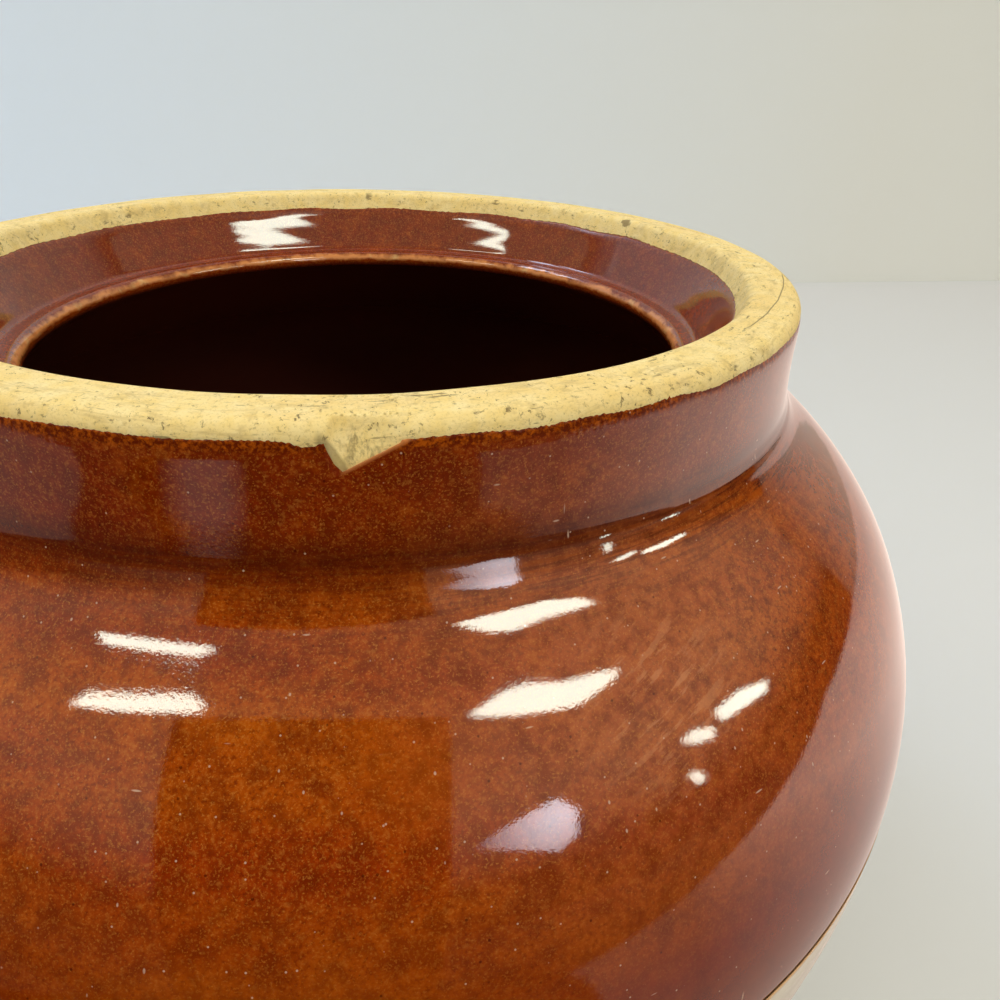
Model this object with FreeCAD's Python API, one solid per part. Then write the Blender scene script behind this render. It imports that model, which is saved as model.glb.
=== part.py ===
"""Stoneware bean pot with a loose lid.

The pot is a thrown, wide-bellied jar with a short upright neck. Inside the neck a ledge, the
gallery, carries the lid. Brown glaze covers the shoulder and the inside, clear glaze covers the
lower belly, and the flat rim and the foot are bare clay. The lid lies on the table beside the pot.

Millimetres, +Z up, origin at the centre of the pot's flat base.
"""
import FreeCAD, Part
import math
import os

# Pot, outside. Heights are above the base, and radii are of the bare clay.
POT_HEIGHT = 160.0
NECK_RADIUS = 69.9
BELLY_RADIUS = 99.45
BELLY_TOP = 91.6            # the belly stands upright between these two heights
BELLY_BOTTOM = 88.0
SHOULDER_ARC = 57.5
SHOULDER_SLOPE = 50.0       # degrees that the shoulder leans out from upright
LOWER_ARC = 135.0
FOOT_BEVEL = 3.0
# Hollow bends from the upright neck out to the shoulder: (radius, degrees leant out at its lower end)
NECK_BENDS = [(90.0, 5.5), (5.0, 27.0), (17.0, SHOULDER_SLOPE)]

# Pot, inside
WALL = 8.0
FLOOR = 9.0
FLOOR_CORNER = 18.0
RIM_OUTER_ROUND = 1.8
RIM_INNER_ROUND = 1.6
MOUTH_RADIUS = 62.6         # where the gallery's wall would meet the rim's top, if not rounded
GALLERY_SLOPE = 26.0        # degrees that the gallery's wall leans in as it goes down
GALLERY_DEPTH = 12.05
GALLERY_CORNER = 1.6
LEDGE_LIP_RADIUS = 53.2
LEDGE_LIP_ROUND = 1.4

# Glaze
GLAZE = 0.25                # thickness of a coat
BROWN_TOP = 2.0             # below the rim
LINING_TOP = 3.2            # below the rim
BROWN_BOTTOM = 68.6         # below the rim, at the widest part
CLEAR_BOTTOM = 6.0          # above the base

# Chip in the rim's front edge: (across, below the rim), seen from the front
CHIP_OUTLINE = [(-4.4, -1.0), (-4.2, 2.5), (-3.6, 4.0), (-2.9, 4.8), (-1.2, 3.9), (2.4, 2.1), (4.0, -1.0)]
CHIP_REACH = 2.0            # how far the chip reaches in across the rim's top
CHIP_DROP = 5.2             # how far its slope falls to the outer wall

# Lid. It lies beside the pot, and heights are above the table.
LID_CENTRE_X = -175.0
LID_SEAT_RADIUS = 55.2      # at its foot; the edge flares out like the gallery's wall
LID_FOOT_BEVEL = 0.8
LID_EDGE = 8.0
LID_EDGE_ROUND = 1.5
LID_CROWN = 13.0            # height of the domed top at its middle
LID_RING_WIDTH = 8.0        # flat ring that rests on the ledge
LID_RECESS = 3.5
LID_BARE_EDGE = 2.5         # the glaze on top starts this far above the table
LID_LINING_EDGE = 1.0       # and the glaze in the recess this far
KNOB_RADIUS = 15.0
KNOB_FOOT_RADIUS = 11.5
KNOB_WAIST_RADIUS = 8.5
KNOB_STEM_TOP = 19.0
KNOB_BULGE = 25.0           # height of the knob's widest part
KNOB_TOP = 32.0

ACROSS_AXIS = -5.0          # sections run past the axis, and are trimmed back to it
FAR = 400.0
CUT_MARGIN = 5.0
AXIS_BASE = FreeCAD.Vector(0, 0, 0)
UP = FreeCAD.Vector(0, 0, 1)


def at(radius, height):
    """A point of a section, which lies in the XZ plane."""
    return FreeCAD.Vector(radius, 0, height)


def on_circle(centre, radius, degrees):
    angle = math.radians(degrees)
    return at(centre[0] + radius * math.cos(angle), centre[1] + radius * math.sin(angle))


def line(start, end):
    return Part.LineSegment(start, end).toShape()


def arc(centre, radius, start, end):
    """An arc from one direction to another, in degrees, either way round."""
    middle = on_circle(centre, radius, (start + end) / 2)
    return Part.Arc(on_circle(centre, radius, start), middle, on_circle(centre, radius, end)).toShape()


def start_of(edge):
    return edge.valueAt(edge.FirstParameter)


def end_of(edge):
    return edge.valueAt(edge.LastParameter)


def face_of(curves):
    """A face bounded by these curves in order, with straight edges across the gaps."""
    edges = []
    for curve, following in zip(curves, curves[1:] + curves[:1]):
        edges.append(curve)
        if (end_of(curve) - start_of(following)).Length > 1e-6:
            edges.append(line(end_of(curve), start_of(following)))
    return Part.Face(Part.Wire(edges))


def rectangle(low_radius, high_radius, low, high):
    corners = [at(low_radius, low), at(high_radius, low), at(high_radius, high), at(low_radius, high)]
    return Part.Face(Part.makePolygon(corners + corners[:1]))


def turned(section):
    """The solid that a section makes when it turns about the upright axis."""
    half = section.common(rectangle(0, FAR, -FAR, FAR)).removeSplitter()
    solids = half.revolve(AXIS_BASE, UP, 360).Solids
    return solids[0] if len(solids) == 1 else Part.makeCompound(solids)


def between(section, low, high):
    return section.common(rectangle(ACROSS_AXIS, FAR, low, high))


def shoulder_centre():
    return (BELLY_RADIUS - SHOULDER_ARC, BELLY_TOP)


def neck_bends():
    """The hollow bends, from the top down, as (centre, radius, first direction, last direction)."""
    bends = []
    point = at(NECK_RADIUS, 0)
    lean = 0.0
    for radius, end_lean in NECK_BENDS:
        centre = on_circle((point.x, point.z), radius, lean)
        bends.append((centre, radius, 180 + lean, 180 + end_lean))
        point = on_circle((centre.x, centre.z), radius, 180 + end_lean)
        lean = end_lean
    round_start = on_circle(shoulder_centre(), SHOULDER_ARC, SHOULDER_SLOPE)
    rise = (round_start.x - point.x) / math.tan(math.radians(SHOULDER_SLOPE))
    lift = round_start.z + rise - point.z
    return [((centre.x, centre.z + lift), *bend) for centre, *bend in bends]


def pot_outline():
    """Section of the pot as if it were solid."""
    lower_centre = (BELLY_RADIUS - LOWER_ARC, BELLY_BOTTOM)
    foot_angle = math.degrees(math.asin((FOOT_BEVEL - BELLY_BOTTOM) / LOWER_ARC))
    foot = on_circle(lower_centre, LOWER_ARC, foot_angle)
    rim_centre = (NECK_RADIUS - RIM_OUTER_ROUND, POT_HEIGHT - RIM_OUTER_ROUND)
    bends = [arc(centre, radius, end, start) for centre, radius, start, end in reversed(neck_bends())]
    return face_of([
        line(at(ACROSS_AXIS, 0), at(foot.x - FOOT_BEVEL, 0)),
        arc(lower_centre, LOWER_ARC, foot_angle, 0),
        arc(shoulder_centre(), SHOULDER_ARC, 0, SHOULDER_SLOPE),
        *bends,
        arc(rim_centre, RIM_OUTER_ROUND, 0, 90),
        line(at(ACROSS_AXIS + 1, POT_HEIGHT), at(ACROSS_AXIS, POT_HEIGHT)),
    ])


def tangent_angle(centre, radius, point):
    """Direction, in degrees, from a circle's centre to where a line from the point touches it."""
    away = math.degrees(math.atan2(point.z - centre[1], point.x - centre[0]))
    distance = math.hypot(point.x - centre[0], point.z - centre[1])
    return away - math.degrees(math.acos(radius / distance))


def cavity_outline():
    """Section of the space inside the pot: belly, mouth and gallery."""
    lower_centre = (BELLY_RADIUS - LOWER_ARC, BELLY_BOTTOM)
    lower_arc = LOWER_ARC - WALL
    corner_height = FLOOR + FLOOR_CORNER
    drop = lower_centre[1] - corner_height
    reach = lower_arc - FLOOR_CORNER
    corner_centre = (lower_centre[0] + math.sqrt(reach ** 2 - drop ** 2), corner_height)
    corner_angle = -math.degrees(math.asin(drop / reach))

    ledge = POT_HEIGHT - GALLERY_DEPTH
    lip_centre = (LEDGE_LIP_RADIUS + LEDGE_LIP_ROUND, ledge - LEDGE_LIP_ROUND)
    hollow_centre, hollow_radius, _, hollow_end = neck_bends()[-1]
    under_shoulder = on_circle(hollow_centre, hollow_radius + WALL, hollow_end)
    under_lip = tangent_angle(lip_centre, LEDGE_LIP_ROUND, under_shoulder)
    slope = math.radians(GALLERY_SLOPE)
    wall_foot = MOUTH_RADIUS - (GALLERY_DEPTH - GALLERY_CORNER) * math.tan(slope)
    gallery_corner = (wall_foot - GALLERY_CORNER / math.cos(slope), ledge + GALLERY_CORNER)
    rim_turn = RIM_INNER_ROUND * math.tan((math.pi / 2 - slope) / 2)
    rim_centre = (MOUTH_RADIUS + rim_turn, POT_HEIGHT - RIM_INNER_ROUND)
    return face_of([
        line(at(ACROSS_AXIS, FLOOR), at(corner_centre[0], FLOOR)),
        arc(corner_centre, FLOOR_CORNER, -90, corner_angle),
        arc(lower_centre, lower_arc, corner_angle, 0),
        arc(shoulder_centre(), SHOULDER_ARC - WALL, 0, SHOULDER_SLOPE),
        line(under_shoulder, on_circle(lip_centre, LEDGE_LIP_ROUND, under_lip)),
        arc(lip_centre, LEDGE_LIP_ROUND, under_lip, -270),
        arc(gallery_corner, GALLERY_CORNER, -90, -GALLERY_SLOPE),
        arc(rim_centre, RIM_INNER_ROUND, 180 - GALLERY_SLOPE, 90),
        line(at(ACROSS_AXIS + 1, POT_HEIGHT), at(ACROSS_AXIS, POT_HEIGHT)),
    ])


def chip_block(outline):
    """A block through the rim's front wall, with the chip's outline seen from the front."""
    corners = [FreeCAD.Vector(across, 0, POT_HEIGHT - below) for across, below in outline]
    front = Part.Face(Part.makePolygon(corners + corners[:1]))
    front.translate(FreeCAD.Vector(0, -NECK_RADIUS - CUT_MARGIN, 0))
    return front.extrude(FreeCAD.Vector(0, 2 * CUT_MARGIN, 0))


def chip():
    """The clay that broke away: the block outside a slope from the rim's top to its outer wall."""
    run = CHIP_REACH * 10
    fall = CHIP_DROP * 10
    wall = -NECK_RADIUS
    corners = [
        FreeCAD.Vector(0, wall + CHIP_REACH + run, POT_HEIGHT + fall),
        FreeCAD.Vector(0, wall - run, POT_HEIGHT - CHIP_DROP - fall),
        FreeCAD.Vector(0, wall - run, POT_HEIGHT + fall),
    ]
    side = Part.Face(Part.makePolygon(corners + corners[:1]))
    side.translate(FreeCAD.Vector(-2 * CUT_MARGIN, 0, 0))
    outside = side.extrude(FreeCAD.Vector(4 * CUT_MARGIN, 0, 0))
    return chip_block(CHIP_OUTLINE).common(outside)


def pot_body():
    section = pot_outline().cut(cavity_outline())
    return turned(section).cut(chip())


def outer_coat():
    """Section of glaze over the whole outside of the pot."""
    outline = pot_outline()
    return outline.makeOffset2D(GLAZE).cut(outline)


def brown_glaze():
    """Brown glaze over the neck and the shoulder. It broke away with the chip."""
    section = between(outer_coat(), POT_HEIGHT - BROWN_BOTTOM, POT_HEIGHT - BROWN_TOP)
    return turned(section).cut(chip_block(CHIP_OUTLINE))


def clear_glaze():
    """Clear glaze over the lower belly, down to the bare foot."""
    return turned(between(outer_coat(), CLEAR_BOTTOM, POT_HEIGHT - BROWN_BOTTOM))


def lining_glaze():
    """Brown glaze over the gallery and the whole inside."""
    cavity = cavity_outline()
    coat = cavity.cut(cavity.makeOffset2D(-GLAZE))
    return turned(between(coat, 0, POT_HEIGHT - LINING_TOP))


def lid_radius():
    """Largest radius of the lid, near the top of its flared edge."""
    flare = (LID_EDGE - LID_EDGE_ROUND - LID_FOOT_BEVEL) * math.tan(math.radians(GALLERY_SLOPE))
    return LID_SEAT_RADIUS + flare


def dome():
    """Centre and radius of the arc that makes the lid's domed top."""
    rise = LID_CROWN - LID_EDGE
    run = lid_radius() - LID_EDGE_ROUND
    radius = (run ** 2 + rise ** 2) / (2 * rise)
    return (0, LID_CROWN - radius), radius


def dome_angle(run):
    """Direction from the dome's centre to the point of the dome this far from the axis."""
    return math.degrees(math.acos(run / dome()[1]))


def lid_underside():
    """Recess, resting ring and edge of the lid, from the axis outwards."""
    ring_inside = LID_SEAT_RADIUS - LID_RING_WIDTH
    return [
        line(at(ACROSS_AXIS, LID_RECESS), at(ring_inside - LID_RECESS, LID_RECESS)),
        line(at(ring_inside, 0), at(LID_SEAT_RADIUS - LID_FOOT_BEVEL, 0)),
        line(at(LID_SEAT_RADIUS, LID_FOOT_BEVEL), at(lid_radius(), LID_EDGE - LID_EDGE_ROUND)),
    ]


def lid_outline():
    """Section of the lid's disc, with a domed top and a shallow recess underneath."""
    edge_angle = dome_angle(lid_radius() - LID_EDGE_ROUND)
    return face_of(lid_underside() + [arc(*dome(), edge_angle, dome_angle(ACROSS_AXIS))])


def knobbed_lid_outline():
    """Section of the lid's disc and its mushroom knob as one."""
    head_round = KNOB_BULGE - KNOB_STEM_TOP
    head_centre = (KNOB_RADIUS - head_round, KNOB_BULGE)
    crown_rise = KNOB_TOP - KNOB_BULGE - head_round
    crown_arc = (head_centre[0] ** 2 + crown_rise ** 2) / (2 * crown_rise)
    crown_edge = math.degrees(math.acos(head_centre[0] / crown_arc))
    past_axis = math.degrees(math.acos(ACROSS_AXIS / crown_arc))
    foot = on_circle(*dome(), dome_angle(KNOB_FOOT_RADIUS))
    waist = at(KNOB_WAIST_RADIUS, (foot.z + KNOB_STEM_TOP) / 2)
    stem = Part.Arc(foot, waist, at(head_centre[0], KNOB_STEM_TOP)).toShape()
    return face_of(lid_underside() + [
        arc(*dome(), dome_angle(lid_radius() - LID_EDGE_ROUND), dome_angle(KNOB_FOOT_RADIUS)),
        stem,
        arc(head_centre, head_round, -90, 90),
        arc((0, KNOB_TOP - crown_arc), crown_arc, crown_edge, past_axis),
    ])


def knob():
    return turned(knobbed_lid_outline().cut(lid_outline()))


def lid_coat():
    """Section of glaze all round the lid and its knob."""
    outline = knobbed_lid_outline()
    return outline.makeOffset2D(GLAZE).cut(outline)


def recess():
    """Section of the space that is glazed under the lid, inside its resting ring."""
    return rectangle(ACROSS_AXIS, LID_SEAT_RADIUS - LID_RING_WIDTH, LID_LINING_EDGE, LID_RECESS)


def lid_top_glaze():
    return turned(between(lid_coat(), LID_BARE_EDGE, FAR).cut(recess()))


def lid_lining_glaze():
    return turned(lid_coat().common(recess()))


def beside(shape):
    """The lid's pieces are made on the pot's axis and lie beside the pot."""
    shape.translate(FreeCAD.Vector(LID_CENTRE_X, 0, 0))
    return shape


def main():
    os.makedirs("parts", exist_ok=True)
    nodes = {
        "pot_body": pot_body(),
        "pot_brown_glaze": brown_glaze(),
        "pot_clear_glaze": clear_glaze(),
        "pot_lining_glaze": lining_glaze(),
        "lid_body": beside(turned(lid_outline())),
        "lid_knob": beside(knob()),
        "lid_top_glaze": beside(lid_top_glaze()),
        "lid_lining_glaze": beside(lid_lining_glaze()),
    }
    for name, shape in nodes.items():
        box = shape.BoundBox
        print(f"{name}: {len(shape.Solids)} solid, valid {shape.isValid()}, {shape.Volume:.0f} mm3,"
              f" X {box.XMin:.2f} to {box.XMax:.2f}, Z {box.ZMin:.2f} to {box.ZMax:.2f}")
        shape.exportStep(f"parts/{name}.step")


main()
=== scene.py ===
"""Looks of the stoneware bean pot and its loose lid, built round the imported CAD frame.

Each visible piece is a closed mesh turned about an upright axis, with the unevenness of thrown and
dipped pottery, and stands for one CAD node. Metres, +Z up, origin at the centre of the pot's base.
Azimuths are measured round the pot from its front, which is -Y, towards +X.
"""

import math

import bpy
import numpy as np
from mathutils import Matrix, Vector

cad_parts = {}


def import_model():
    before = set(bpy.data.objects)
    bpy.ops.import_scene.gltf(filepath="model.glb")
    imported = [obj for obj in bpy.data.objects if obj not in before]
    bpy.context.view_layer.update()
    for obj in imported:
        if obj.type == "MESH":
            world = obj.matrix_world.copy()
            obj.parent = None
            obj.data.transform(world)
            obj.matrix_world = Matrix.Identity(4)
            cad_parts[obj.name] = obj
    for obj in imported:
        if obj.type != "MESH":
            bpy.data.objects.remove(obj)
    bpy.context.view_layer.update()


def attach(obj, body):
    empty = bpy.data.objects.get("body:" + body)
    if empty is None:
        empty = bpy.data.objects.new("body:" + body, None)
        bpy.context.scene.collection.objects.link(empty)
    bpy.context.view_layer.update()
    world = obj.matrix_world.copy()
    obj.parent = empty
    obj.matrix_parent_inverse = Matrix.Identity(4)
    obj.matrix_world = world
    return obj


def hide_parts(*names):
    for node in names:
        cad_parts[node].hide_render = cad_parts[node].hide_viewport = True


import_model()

# Pot, outside. Heights are above the base, and radii are of the bare clay.
POT_HEIGHT = 0.160
NECK_RADIUS = 0.0699
BELLY_RADIUS = 0.09945
BELLY_TOP = 0.0916
BELLY_BOTTOM = 0.088
SHOULDER_ARC = 0.0575
SHOULDER_SLOPE = 50.0
LOWER_ARC = 0.135
FOOT_BEVEL = 0.003
# Hollow bends from the upright neck out to the shoulder: (radius, degrees leant out at its lower end)
NECK_BENDS = [(0.090, 5.5), (0.005, 27.0), (0.017, SHOULDER_SLOPE)]

# Pot, inside
WALL = 0.008
FLOOR = 0.009
FLOOR_CORNER = 0.018
RIM_OUTER_ROUND = 0.0018
RIM_INNER_ROUND = 0.0016
MOUTH_RADIUS = 0.0626
GALLERY_SLOPE = 26.0
GALLERY_DEPTH = 0.01205
GALLERY_CORNER = 0.0016
LEDGE_LIP_RADIUS = 0.0532
LEDGE_LIP_ROUND = 0.0014

# Glaze
GLAZE = 0.00025
BROWN_TOP = 0.0018          # below the rim, as are the next two
LINING_TOP = 0.0032
BROWN_BOTTOM = 0.0686
CLEAR_BOTTOM = 0.006        # above the base
SUNK = 0.0004               # how far a coat reaches into the clay it covers
HIDDEN = 0.0003             # how far the clay keeps back under a coat, away from the coat's edges
GLAZE_EDGE = 0.0020         # over which a coat thins out to its edge
EDGE_REACH = 0.006          # over which the rows of a coat's mesh stop following its edge
LID_EDGE_REACH = 0.003

# Chip in the rim's front edge: (across, below the rim), seen from the front
CHIP_OUTLINE = [(-0.0044, -0.001), (-0.0042, 0.0025), (-0.0036, 0.0040), (-0.0029, 0.0048),
                (-0.0012, 0.0039), (0.0024, 0.0021), (0.0040, -0.001)]
# How far in from the outer wall the chip reaches across the rim's top: (across, reach)
CHIP_REACH = [(-0.0043, 0.0), (-0.0034, 0.0019), (-0.0026, 0.0022), (0.0, 0.0017), (0.0024, 0.0010),
              (0.0040, 0.0)]
CHIP_GRAIN = 0.00006
CHIP_SOFTNESS = 0.0003

# Lid, on the table beside the pot
LID_CENTRE = (-0.175, 0.0)
LID_SEAT_RADIUS = 0.0552
LID_FOOT_BEVEL = 0.0008
LID_EDGE = 0.008
LID_EDGE_ROUND = 0.0015
LID_CROWN = 0.013
LID_RING_WIDTH = 0.008
LID_RECESS = 0.0035
LID_BARE_EDGE = 0.0025
LID_LINING_EDGE = 0.001
KNOB_RADIUS = 0.015
KNOB_FOOT_RADIUS = 0.0115
KNOB_WAIST_RADIUS = 0.0085
KNOB_STEM_TOP = 0.019
KNOB_BULGE = 0.025
KNOB_TOP = 0.032

# Meshes. Tiers are steps round an axis: (up to this azimuth, step).
CURVE_STEP = 0.0001
FRONT = math.radians(62)    # the finely modelled part of the pot, each side of its front
CLAY_TIERS = [(0.085, 0.0018), (FRONT, 0.0058), (math.pi, 0.0185)]
BROWN_TIERS = [(FRONT, 0.0026), (math.pi, 0.02)]
CLEAR_TIERS = [(FRONT, 0.0065), (math.pi, 0.013)]
LINING_TIERS = [(math.pi, 0.0105)]
LID_TIERS = [(math.pi, 0.016)]

# Marks of the making
NECK_GROOVE = 0.0160        # below the rim
LEFT_DIP = 0.00009          # of the wall under the neck, left of the front
TOOL_LINE = 0.0195          # below the rim at the front; it drops as it runs round to +X
TOOL_LINE_START = math.radians(14)
TOOL_LINE_DROP = 0.00625    # per radian
NECK_GROOVE_WIDTH = 0.0005
NECK_GROOVE_DEPTH = 0.00007
RING_SPACING = 0.0052
SLOW_RING_SPACING = 0.017
BESIDE_FRONT = (0.2, 0.5)   # azimuths over which the marks beside the front begin, on either side
# How far the wall goes in, and between which depths below the rim. It comes out where negative.
UNDER_NECK = [(0.00025, 0.0160, 0.0198), (0.00017, 0.0185, 0.0245), (-0.0001, 0.0080, 0.0158),
              (-0.00025, 0.0265, 0.0500)]


# ---------------------------------------------------------------- sections

def arc(centre, radius, start, end):
    """Points along an arc from one direction to another, in degrees, as (radius, height)."""
    count = math.ceil(abs(math.radians(end - start)) * radius / CURVE_STEP) + 2
    angles = np.radians(np.linspace(start, end, count))
    return np.column_stack([centre[0] + radius * np.cos(angles), centre[1] + radius * np.sin(angles)])


def on_circle(centre, radius, degrees):
    angle = math.radians(degrees)
    return np.array([centre[0] + radius * math.cos(angle), centre[1] + radius * math.sin(angle)])


def path(*parts):
    """One line through points and arcs, divided finely."""
    corners = np.vstack([np.atleast_2d(part) for part in parts])
    lengths = np.hypot(*np.diff(corners, axis=0).T)
    keep = np.concatenate([[True], lengths > 1e-9])
    corners = corners[keep]
    along = np.concatenate([[0], np.cumsum(np.hypot(*np.diff(corners, axis=0).T))])
    even = np.linspace(0, along[-1], math.ceil(along[-1] / CURVE_STEP))
    return np.column_stack([np.interp(even, along, corners[:, k]) for k in (0, 1)])


def shoulder_centre():
    return (BELLY_RADIUS - SHOULDER_ARC, BELLY_TOP)


def neck_bends():
    """The hollow bends, from the top down, as (centre, radius, first direction, last direction)."""
    bends = []
    point = np.array([NECK_RADIUS, 0.0])
    lean = 0.0
    for radius, end_lean in NECK_BENDS:
        centre = on_circle(point, radius, lean)
        bends.append((centre, radius, 180 + lean, 180 + end_lean))
        point = on_circle(centre, radius, 180 + end_lean)
        lean = end_lean
    round_start = on_circle(shoulder_centre(), SHOULDER_ARC, SHOULDER_SLOPE)
    rise = (round_start[0] - point[0]) / math.tan(math.radians(SHOULDER_SLOPE))
    lift = np.array([0, round_start[1] + rise - point[1]])
    return [(centre + lift, *bend) for centre, *bend in bends]


def outside():
    """The pot's outer wall, from the rim's edge down to the foot."""
    lower_centre = (BELLY_RADIUS - LOWER_ARC, BELLY_BOTTOM)
    foot = math.degrees(math.asin((FOOT_BEVEL - BELLY_BOTTOM) / LOWER_ARC))
    return path(
        (NECK_RADIUS, POT_HEIGHT),
        *[arc(*bend) for bend in neck_bends()],
        arc(shoulder_centre(), SHOULDER_ARC, SHOULDER_SLOPE, 0),
        arc(lower_centre, LOWER_ARC, 0, foot),
    )


def inside():
    """The pot's inner wall, from the rim's edge down over the ledge to the middle of the floor."""
    lower_centre = (BELLY_RADIUS - LOWER_ARC, BELLY_BOTTOM)
    lower_arc = LOWER_ARC - WALL
    corner_height = FLOOR + FLOOR_CORNER
    drop = lower_centre[1] - corner_height
    reach = lower_arc - FLOOR_CORNER
    corner_centre = (lower_centre[0] + math.sqrt(reach ** 2 - drop ** 2), corner_height)
    corner_angle = -math.degrees(math.asin(drop / reach))
    ledge = POT_HEIGHT - GALLERY_DEPTH
    lip = (LEDGE_LIP_RADIUS + LEDGE_LIP_ROUND, ledge - LEDGE_LIP_ROUND)
    hollow_centre, hollow_radius, _, hollow_end = neck_bends()[-1]
    under_shoulder = on_circle(hollow_centre, hollow_radius + WALL, hollow_end)
    away = under_shoulder - np.array(lip)
    under_lip = math.degrees(math.atan2(away[1], away[0]) - math.acos(LEDGE_LIP_ROUND / np.hypot(*away)))
    slope = math.radians(GALLERY_SLOPE)
    wall_foot = MOUTH_RADIUS - (GALLERY_DEPTH - GALLERY_CORNER) * math.tan(slope)
    gallery_corner = (wall_foot - GALLERY_CORNER / math.cos(slope), ledge + GALLERY_CORNER)
    return path(
        (MOUTH_RADIUS, POT_HEIGHT),
        arc(gallery_corner, GALLERY_CORNER, -GALLERY_SLOPE, -90),
        arc(lip, LEDGE_LIP_ROUND, 90, 360 + under_lip),
        arc(shoulder_centre(), SHOULDER_ARC - WALL, SHOULDER_SLOPE, 0),
        arc(lower_centre, lower_arc, 0, corner_angle),
        arc(corner_centre, FLOOR_CORNER, corner_angle, -90),
        (0, FLOOR),
    )


def lengths_of(curve):
    return np.concatenate([[0], np.cumsum(np.hypot(*np.diff(curve, axis=0).T))])


def walk(curve, distance, side):
    """Points and unit normals of a curve at these distances along it. side is 1 for the left."""
    along = lengths_of(curve)
    slopes = np.gradient(curve, along, axis=0)
    point = [np.interp(distance, along, curve[:, k]) for k in (0, 1)]
    slope = [np.interp(distance, along, slopes[:, k]) for k in (0, 1)]
    size = np.hypot(*slope)
    return point, (-side * slope[1] / size, side * slope[0] / size)


# ---------------------------------------------------------------- unevenness

def wander(angle, slowest, fastest, count, seed):
    """A smooth random curve round the pot, mostly from -1 to 1, made of whole numbers of waves."""
    rng = np.random.default_rng(seed)
    waves = rng.integers(slowest, fastest + 1, count)
    phases = rng.uniform(0, 2 * np.pi, count)
    return np.sin(np.multiply.outer(angle, waves) + phases).sum(-1) / math.sqrt(count)


def bump(value, centre, width):
    return np.exp(-((value - centre) / width) ** 2)


def fade(value, start, end):
    """0 before start and 1 after end, smoothly."""
    share = np.clip((value - start) / (end - start), 0, 1)
    return share * share * (3 - 2 * share)


def turning_marks(azimuth, below):
    """How far the thrower's marks push the outer wall in, at these azimuths and depths."""
    bend = sum(amount * fade(below, start, end) for amount, start, end in UNDER_NECK)
    rings = 0.5 + 0.5 * np.sin(2 * np.pi * below / RING_SPACING + 2 * wander(azimuth, 1, 3, 4, 3))
    slow = 0.5 + 0.5 * np.sin(2 * np.pi * below / SLOW_RING_SPACING + wander(azimuth, 1, 4, 4, 5))
    side = 0.3 + 0.7 * fade(azimuth, math.radians(30), math.radians(48))
    groove_at = NECK_GROOVE + 0.0002 * wander(azimuth, 1, 5, 4, 8)
    groove = bump(below, groove_at, NECK_GROOVE_WIDTH) * fade(azimuth, 0.25, 0.6)
    groove = groove * (1 - fade(azimuth, 1.4, 1.8))
    left = fade(-azimuth, *BESIDE_FRONT) * (1 - fade(-azimuth, 1.4, 1.8))
    bend = bend + LEFT_DIP * left * (fade(below, 0.0185, 0.0240) - fade(below, 0.0240, 0.0300))
    line_at = TOOL_LINE + TOOL_LINE_DROP * (azimuth - TOOL_LINE_START)
    line_here = fade(azimuth, *BESIDE_FRONT) * (1 - fade(azimuth, 1.3, 1.6))
    ridge = line_here * (0.00005 - 0.00009 * bump(below, line_at, 0.0006)
                         + 0.00006 * bump(below, line_at + 0.0011, 0.0006))
    body = fade(below, 0.004, 0.02)
    return body * (0.000007 * rings * side + 0.00003 * slow) + NECK_GROOVE_DEPTH * groove + ridge + bend


def signed(azimuth):
    """The same azimuths from -pi to pi."""
    return (azimuth + np.pi) % (2 * np.pi) - np.pi


# ---------------------------------------------------------------- meshes

def azimuths(tiers):
    """Azimuths round the pot, in steps that may grow with the angle away from its front."""
    half = [0.0]
    for reach, step in tiers:
        half += np.linspace(half[-1], reach, math.ceil((reach - half[-1]) / step) + 1)[1:].tolist()
    half = np.array(half)
    return np.concatenate([-half[:0:-1], half[:-1]])


def in_scene(name, data):
    piece = bpy.data.objects.new(name, data)
    bpy.context.scene.collection.objects.link(piece)
    return piece


def lathe(name, azimuth, radius, height, to_axis, centre=(0, 0)):
    """A closed mesh from one section per azimuth. Each section runs from axis to axis, or is a loop."""
    around, along = radius.shape
    points = np.empty((around, along, 3))
    points[..., 0] = centre[0] + radius * np.sin(azimuth)[:, None]
    points[..., 1] = centre[1] - radius * np.cos(azimuth)[:, None]
    points[..., 2] = height
    points = points.reshape(-1, 3)
    i, j = np.meshgrid(np.arange(around), np.arange(along - to_axis), indexing="ij")
    here, there = i * along, (i + 1) % around * along
    j_next = (j + 1) % along
    faces = np.stack([here + j, there + j, there + j_next, here + j_next], -1).reshape(-1, 4).tolist()
    if to_axis:
        ends = [[*centre, height[:, 0].mean()], [*centre, height[:, -1].mean()]]
        first = len(points)
        points = np.vstack([points, ends])
        ring = np.arange(around) * along
        after = np.roll(ring, -1)
        faces += [[first, b, a] for a, b in zip(ring.tolist(), after.tolist())]
        ring, after = ring + along - 1, after + along - 1
        faces += [[first + 1, a, b] for a, b in zip(ring.tolist(), after.tolist())]
    mesh = bpy.data.meshes.new(name)
    mesh.from_pydata(points.tolist(), [], faces)
    mesh.update()
    mesh.shade_smooth()
    piece = in_scene(name, mesh)
    if enclosed(mesh) < 0:
        mesh.flip_normals()
    return piece


def enclosed(mesh):
    """Signed volume, which is negative where the faces look inwards."""
    mesh.calc_loop_triangles()
    corners = np.empty(len(mesh.loop_triangles) * 3, np.int64)
    mesh.loop_triangles.foreach_get("vertices", corners)
    points = np.empty(len(mesh.vertices) * 3)
    mesh.vertices.foreach_get("co", points)
    a, b, c = points.reshape(-1, 3)[corners].reshape(-1, 3, 3).transpose(1, 0, 2)
    return float((a * np.cross(b, c)).sum() / 6)


def rows(*stretches):
    """Distances along a curve, from stretches given as (start, end, count)."""
    return np.concatenate([np.linspace(*stretch) for stretch in stretches])


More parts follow.
